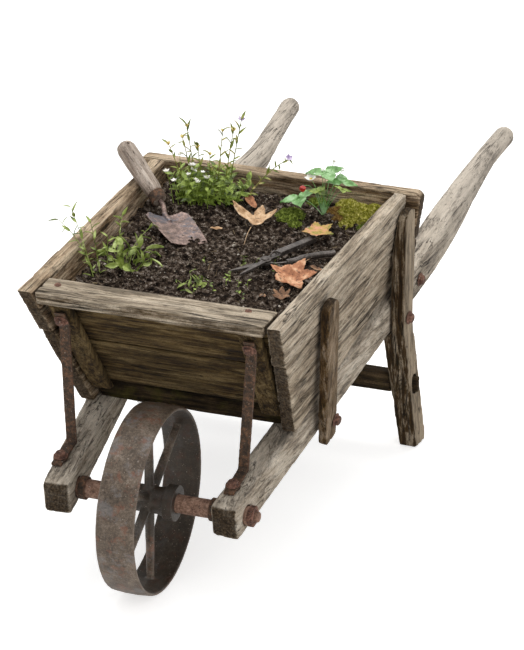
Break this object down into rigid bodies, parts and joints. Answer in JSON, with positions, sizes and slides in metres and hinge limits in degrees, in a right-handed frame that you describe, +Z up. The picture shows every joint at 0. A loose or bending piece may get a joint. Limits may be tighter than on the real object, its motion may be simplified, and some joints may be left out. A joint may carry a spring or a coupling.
{
  "type": "planted wooden wheelbarrow",
  "caption": "Old wooden garden barrow with a rusty cast-iron wheel, its tray full of soil, small plants, a trowel and open shears.",
  "frame": {"origin": "middle of the footprint, on the ground", "axes": "+Z up, +Y along the barrow from the wheel to the handles, +X to the right for someone who stands in front of the wheel and looks at it"},
  "size_m": [0.6044, 1.696, 0.697],
  "materials": {
    "weathered_oak": "grey weathered, deeply cracked oak",
    "shaded_oak": "dark weathered oak",
    "cast_iron_wheel": "rusted cast iron, worn smooth on the tread",
    "rusty_iron": "rough brown rust on wrought iron",
    "dark_steel": "dull tarnished forged steel",
    "blade_steel": "blue-grey steel with a bloom of brown rust",
    "handle_wood": "dry unvarnished ash",
    "soil": "dark crumbly soil",
    "moss": "soft yellow-green moss",
    "green_leaf": "fresh green leaves",
    "dead_leaf": "dry curled brown and orange leaves"
  },
  "bodies": {
    "barrow": {"axle": "rusty_iron", "axle_nut": "rusty_iron", "axle_sleeve_left": "rusty_iron", "axle_sleeve_right": "rusty_iron", "back_board_lower": "shaded_oak", "back_board_upper": "weathered_oak", "floor_board_1": "shaded_oak", "floor_board_2": "shaded_oak", "floor_board_3": "shaded_oak", "front_batten_left": "shaded_oak", "front_batten_right": "shaded_oak", "front_board_lower": "shaded_oak", "front_board_upper": "shaded_oak", "front_rail": "weathered_oak", "front_sill": "shaded_oak", "iron_strap_left": "rusty_iron", "iron_strap_right": "rusty_iron", "leaf_maple_tan": "dead_leaf", "leaf_orange": "dead_leaf", "leaf_yellow": "dead_leaf", "leg_bolt_left": "rusty_iron", "leg_bolt_right": "rusty_iron", "leg_left": "weathered_oak", "leg_right": "weathered_oak", "leg_stretcher": "shaded_oak", "moss_bank": "moss", "moss_cushion": "moss", "rear_bolt_left": "rusty_iron", "rear_bolt_right": "rusty_iron", "rear_rail": "shaded_oak", "rosette_weed": "green_leaf", "shaft_left": "weathered_oak", "shaft_right": "weathered_oak", "shears_hook_half": "dark_steel", "shears_pivot": "dark_steel", "side_board_left_lower": "weathered_oak", "side_board_left_upper": "weathered_oak", "side_board_right_lower": "weathered_oak", "side_board_right_upper": "weathered_oak", "soil": "soil", "stake_bolt_left": "rusty_iron", "stake_bolt_right": "rusty_iron", "stake_left": "weathered_oak", "stake_right": "weathered_oak", "strap_foot_screw_left": "rusty_iron", "strap_foot_screw_right": "rusty_iron", "strap_screw_left": "rusty_iron", "strap_screw_right": "rusty_iron", "strawberry_plant": "green_leaf", "trowel_blade": "blade_steel", "trowel_ferrule": "rusty_iron", "trowel_handle": "handle_wood", "weed_clump": "green_leaf"},
    "wheel": {"wheel": "cast_iron_wheel"},
    "shears_blade_half": {"shears_blade_half": "dark_steel"}
  },
  "joints": [
    {"name": "wheel_spin", "type": "hinge", "parent": "barrow", "child": "wheel", "pos_m": [0, -0.67302, 0.175], "axis": [1, 0, 0], "continuous": true},
    {"name": "shears_pivot", "type": "hinge", "parent": "barrow", "child": "shears_blade_half", "pos_m": [0.089, -0.30102, 0.5], "axis": [0, 0, 1], "range_deg": [0, 22]}
  ]
}
